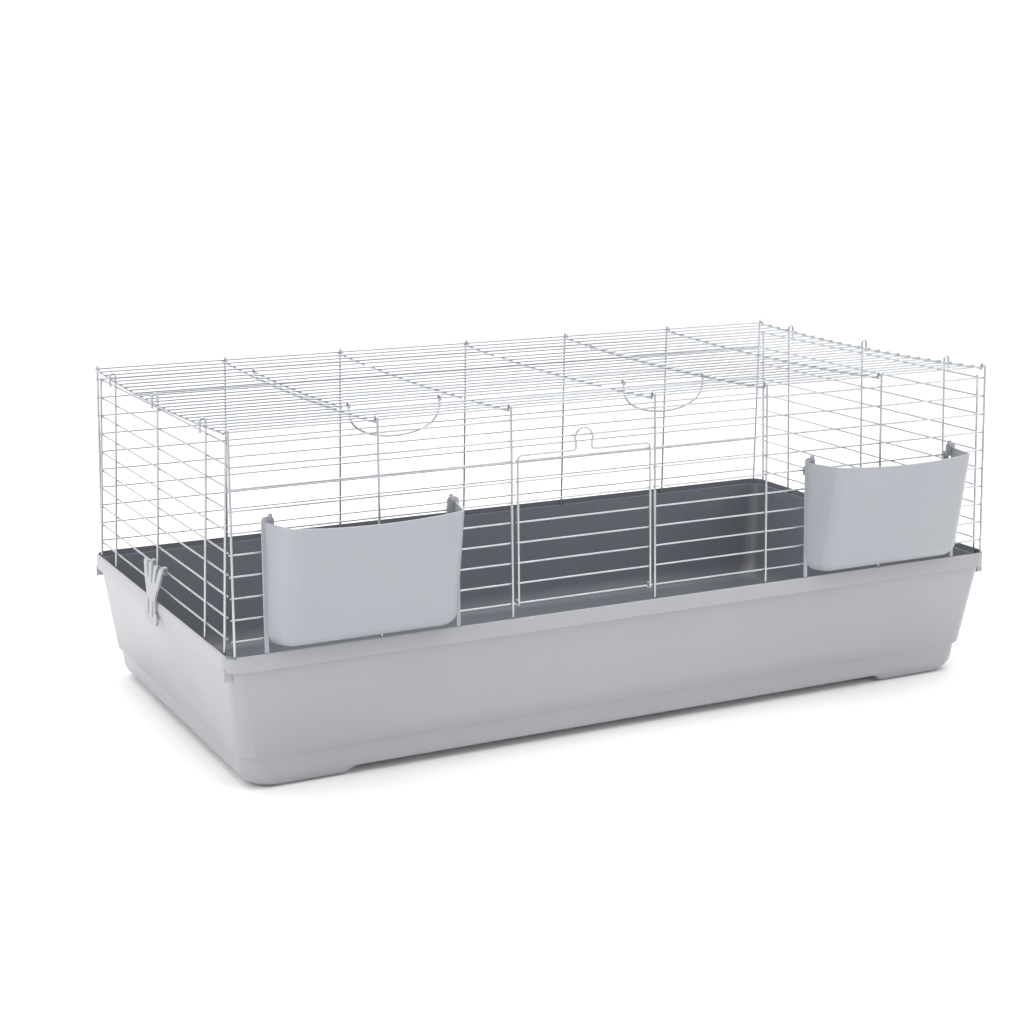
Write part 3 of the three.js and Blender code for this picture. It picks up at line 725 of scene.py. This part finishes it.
def feederShape(name):
    # an open pocket with ears, modelled flat against the middle of the front panel
    f = feeder
    half = f["halfWidth"]
    piece = openCube(name, (-half, -f["depthTop"], f["bottom"]), (half, 0, f["top"]))
    selectPoints(piece, lambda co: co.y < -0.01)
    bpy.ops.transform.resize(value=(1 - f["taper"] / half, 1, 1), center_override=(0, 0, 0))
    selectPoints(piece, lambda co: co.y < -0.01 and co.z < 0.2)
    bpy.ops.transform.translate(value=(0, f["depthTop"] - f["depthBottom"], 0))
    selectEdges(piece, lambda a, b: a.y < -0.01 and b.y < -0.01 and abs(a.z - b.z) > 0.1)
    bpy.ops.mesh.bevel(offset=f["sideRound"], segments=8, profile=0.5, affect="EDGES")
    selectEdges(piece, lambda a, b: max(a.z, b.z) < f["bottom"] + 1e-4 and min(a.y, b.y) < -0.001)
    bpy.ops.mesh.bevel(offset=f["bottomRound"], segments=8, profile=0.5, affect="EDGES")
    selectFaces(piece, lambda c, n, face: n.z > 0.99 or n.y > 0.99)
    bpy.ops.mesh.delete(type="FACE")
    bowFront(piece)
    closeShape(piece)
    addModifier(piece, "SOLIDIFY", thickness=f["wall"], offset=-1, use_even_offset=True)
    for side in (-1, 1):
        xs = sorted((side * (half - 0.002), side * (half + f["flange"])))
        flange = openCube("flange_tool", (xs[0], -f["flangeThick"], f["flangeBottom"]),
                          (xs[1], 0, f["flangeTop"]))
        bpy.ops.object.mode_set(mode="OBJECT")
        carve(piece, flange, "UNION")
        for tool in feederEar(side):
            carve(piece, tool, "UNION")
    roundEdges(piece, f["edge"])
    closeShape(piece, 35)
    return piece


def hangFeeder(piece, centre, body, node):
    settle(piece, frontPlace @ Matrix.Translation((centre, -feeder["back"], 0)))
    return finishPiece(piece, body, fittingPlastic, [node])


leftFeeder = feederShape("left_feeder_pocket")
rightFeeder = copyShape(leftFeeder, "right_feeder_pocket")
hangFeeder(leftFeeder, feeder["left"], "feeder_left", "left_feeder")
hangFeeder(rightFeeder, feeder["right"], "feeder_right", "right_feeder")
print("feeders ready")

clip = {
    # half outline, across and up from the clip's middle line
    "outline": ((1.8, 206), (4.6, 229), (7, 232), (13, 231.5), (16, 228.5), (13.6, 212), (14.6, 208.5),
                (17.2, 210.5), (26.5, 229), (30, 232.6), (36.5, 232), (39.5, 228), (30, 207), (20, 192),
                (18, 186), (18, 169), (22, 167.4), (26.5, 163), (27.6, 158), (25, 153.6), (19, 152)),
    "thick": 0.003, "face": 0.0004, "edge": 0.0007, "headKnee": 0.190, "lean": 0.1,
    "tailKnee": 0.175, "bulge": 0.069, "nibHalf": 0.007, "nibHeight": (0.156, 0.1615),
    "slits": ((7.5, 11), (162, 184)), "slitChamfer": (1.2, 1), "hookAcross": 0.024, "hookWidth": 0.008,
    "hookStart": 126, "hookSweep": 260,
}


def clipPlate(points, x0, x1):
    # one point drawn round the outline, filled, and pulled out into a plate
    piece = openNew("clip_plate")
    bpy.ops.mesh.select_mode(type="VERT")
    bpy.ops.mesh.primitive_plane_add(size=0.01, location=(x0, points[0][0] / 1000, points[0][1] / 1000))
    bpy.ops.mesh.merge(type="CENTER")
    for before, after in zip(points, points[1:] + points[:1]):
        step = (0, (after[0] - before[0]) / 1000, (after[1] - before[1]) / 1000)
        bpy.ops.mesh.extrude_vertices_move(TRANSFORM_OT_translate={"value": step})
    bpy.ops.mesh.select_all(action="SELECT")
    bpy.ops.mesh.remove_doubles(threshold=1e-5)
    bpy.ops.mesh.edge_face_add()
    bpy.ops.mesh.select_all(action="SELECT")
    bpy.ops.mesh.extrude_region_move(TRANSFORM_OT_translate={"value": (x1 - x0, 0, 0)})
    closeShape(piece)
    return piece


def bendClip(piece, height, angle, above):
    # folds the plate about a level line: the head leans in, the tail stands off the rim
    bpy.ops.object.mode_set(mode="EDIT")
    bpy.ops.mesh.select_all(action="SELECT")
    bpy.ops.mesh.bisect(plane_co=(0, 0, height), plane_no=(0, 0, 1))
    selectPoints(piece, lambda co: co.z > height + 1e-5 if above else co.z < height - 1e-5)
    turnSelected(angle, (rimHalfLength + clip["face"], 0, height), "Y")
    bpy.ops.object.mode_set(mode="OBJECT")


def slitOutline(side):
    (inner, outer), (low, high) = clip["slits"]
    across, up = clip["slitChamfer"]
    corners = ((inner, low + up), (inner + across, low), (outer - across, low), (outer, low + up),
               (outer, high - up), (outer - across, high), (inner + across, high), (inner, high - up))
    return [(side * y, z) for y, z in corners]


def clipShape(name):
    # the right-hand clip, modelled about the tray's middle line
    face = rimHalfLength + clip["face"]
    right = list(clip["outline"])
    left = [(-y, z) for y, z in reversed(right)]
    piece = clipPlate(right + left, face, face + clip["thick"])
    for side in (-1, 1):
        tool = clipPlate(slitOutline(side), face - 0.002, face + clip["thick"] + 0.002)
        carve(piece, tool, "DIFFERENCE")
    bendClip(piece, clip["headKnee"], -clip["lean"], True)
    bendClip(piece, clip["tailKnee"], -clip["bulge"], False)
    # the nib that snaps under the rim
    half, (low, high) = clip["nibHalf"], clip["nibHeight"]
    nib = openCube("nib_tool", (rimHalfLength - 0.003, -half, low), (face + 0.002, half, high))
    bpy.ops.object.mode_set(mode="OBJECT")
    carve(piece, nib, "UNION")
    roundEdges(piece, clip["edge"])
    hooks = clipHooks()
    pickOnly(piece)
    hooks.select_set(True)
    bpy.ops.object.join()
    piece.name = name
    piece.data.name = name
    closeShape(piece)
    return piece


def hangClip(piece, turn, body, node):
    settle(piece, Matrix.Translation((0, middleY, 0)) @ Matrix.Rotation(turn, 4, "Z"))
    return finishPiece(piece, body, fittingPlastic, [node])


def clipHooks():
    # two open hooks round the end panel's second rung, with the arms that carry them
    piece = openNew("clip_hooks")
    z = rungHeights[1]
    rise = z - wire["foot"]
    lean = wire["endLean"] * rise / (wire["top"] - wire["foot"])
    x = rimHalfLength - wire["footInset"] - rungOffset - lean
    half = clip["hookWidth"] / 2
    for side in (-1, 1):
        y = side * clip["hookAcross"]
        angle = math.radians(clip["hookStart"])
        tip = Vector((x + eye["radius"] * math.cos(angle), y, z + eye["radius"] * math.sin(angle)))
        bpy.ops.mesh.select_all(action="DESELECT")
        bpy.ops.mesh.primitive_plane_add(size=1, location=tip)
        bpy.ops.transform.resize(value=(eye["wire"], 2 * half, 1), center_override=tip)
        turnSelected(-angle, tip, "Y")
        bendWire((x, y, z), (0, 1, 0), clip["hookSweep"], 16)
        bpy.ops.mesh.select_all(action="DESELECT")
        inner, outer = x + eye["radius"] - 0.0006, rimHalfLength - 0.0024
        middle = Vector(((inner + outer) / 2, y, z))
        bpy.ops.mesh.primitive_cube_add(size=1, location=middle)
        bpy.ops.transform.resize(value=(outer - inner, 2 * half, 0.003), center_override=middle)
    bpy.ops.object.mode_set(mode="OBJECT")
    return piece


rightClip = clipShape("right_end_clip")
leftClip = copyShape(rightClip, "left_end_clip")
hangClip(rightClip, 0, "clip_right", "right_clip")
hangClip(leftClip, math.pi, "clip_left", "left_clip")
print("clips ready")

studio = {
    "floor": 9, "floorColour": "#fafafa", "sweep": 1.15, "room": 0.78,
    # each lamp: place, what it faces, size and power
    "overhead_box": ((0, 0, 3.2), (0, 0, 0), (4, 4), 90),
    "left_box": ((-3.6, -1.4, 2.4), (0, 0, 0.2), (1.6, 1.8), 31),
    "right_box": ((3.2, -3.4, 1.8), (0, 0, 0.2), (2.0, 2.0), 25),
}
view = {
    "place": (-1.3054, -2.4026 + middleY, 0.8725), "pitch": 0.1687, "yaw": -0.4651,
    "lens": 67.6, "sensor": 36, "shift": (0.03125, -0.1094),
}


def studioFloor():
    deselectAll()
    bpy.ops.mesh.primitive_plane_add(size=studio["floor"], location=(0, 0, 0))
    floor = bpy.context.object
    floor.name = "studio_floor"
    material, tree, _ = newMaterial("white_paper_sweep")
    shader = addNode(tree, "ShaderNodeBsdfPrincipled",
                     inputs={"Base Color": toLinear(studio["floorColour"]), "Roughness": 0.9})
    finishMaterial(tree, shader)
    floor.data.materials.append(material)


def softBox(name, place, target, size, power):
    deselectAll()
    bpy.ops.object.light_add(type="AREA", location=place)
    lamp = bpy.context.object
    lamp.name = name
    lamp.data.shape = "RECTANGLE"
    lamp.data.size, lamp.data.size_y = size
    lamp.data.energy = power
    lamp.rotation_euler = (Vector(target) - Vector(place)).to_track_quat("-Z", "Y").to_euler()


def studioLight():
    bpy.context.scene.view_settings.view_transform = "Standard"
    world = bpy.context.scene.world or bpy.data.worlds.new("studio")
    bpy.context.scene.world = world
    world.use_nodes = True
    # a white paper sweep behind, fading to a dimmer room in front
    tree = world.node_tree
    tree.nodes.clear()
    direction = addNode(tree, "ShaderNodeTexCoord").outputs["Generated"]
    split = addNode(tree, "ShaderNodeSeparateXYZ", links={"Vector": direction})
    glow = addNode(tree, "ShaderNodeMapRange", {"interpolation_type": "SMOOTHSTEP"},
                   {"From Min": -0.7, "From Max": 0.25, "To Min": studio["room"], "To Max": studio["sweep"]},
                   {"Value": split.outputs["Y"]})
    background = addNode(tree, "ShaderNodeBackground", inputs={"Color": toLinear("#ffffff")},
                         links={"Strength": glow.outputs["Result"]})
    addNode(tree, "ShaderNodeOutputWorld", links={"Surface": background.outputs["Background"]})
    for name in ("overhead_box", "left_box", "right_box"):
        softBox(name, *studio[name])


def aimCamera():
    deselectAll()
    turn = (math.pi / 2 - view["pitch"], 0, view["yaw"])
    bpy.ops.object.camera_add(location=view["place"], rotation=turn)
    camera = bpy.context.object
    camera.data.sensor_width = view["sensor"]
    camera.data.lens = view["lens"]
    camera.data.shift_x, camera.data.shift_y = view["shift"]
    bpy.context.scene.camera = camera


studioFloor()
studioLight()
aimCamera()
print("stage ready")
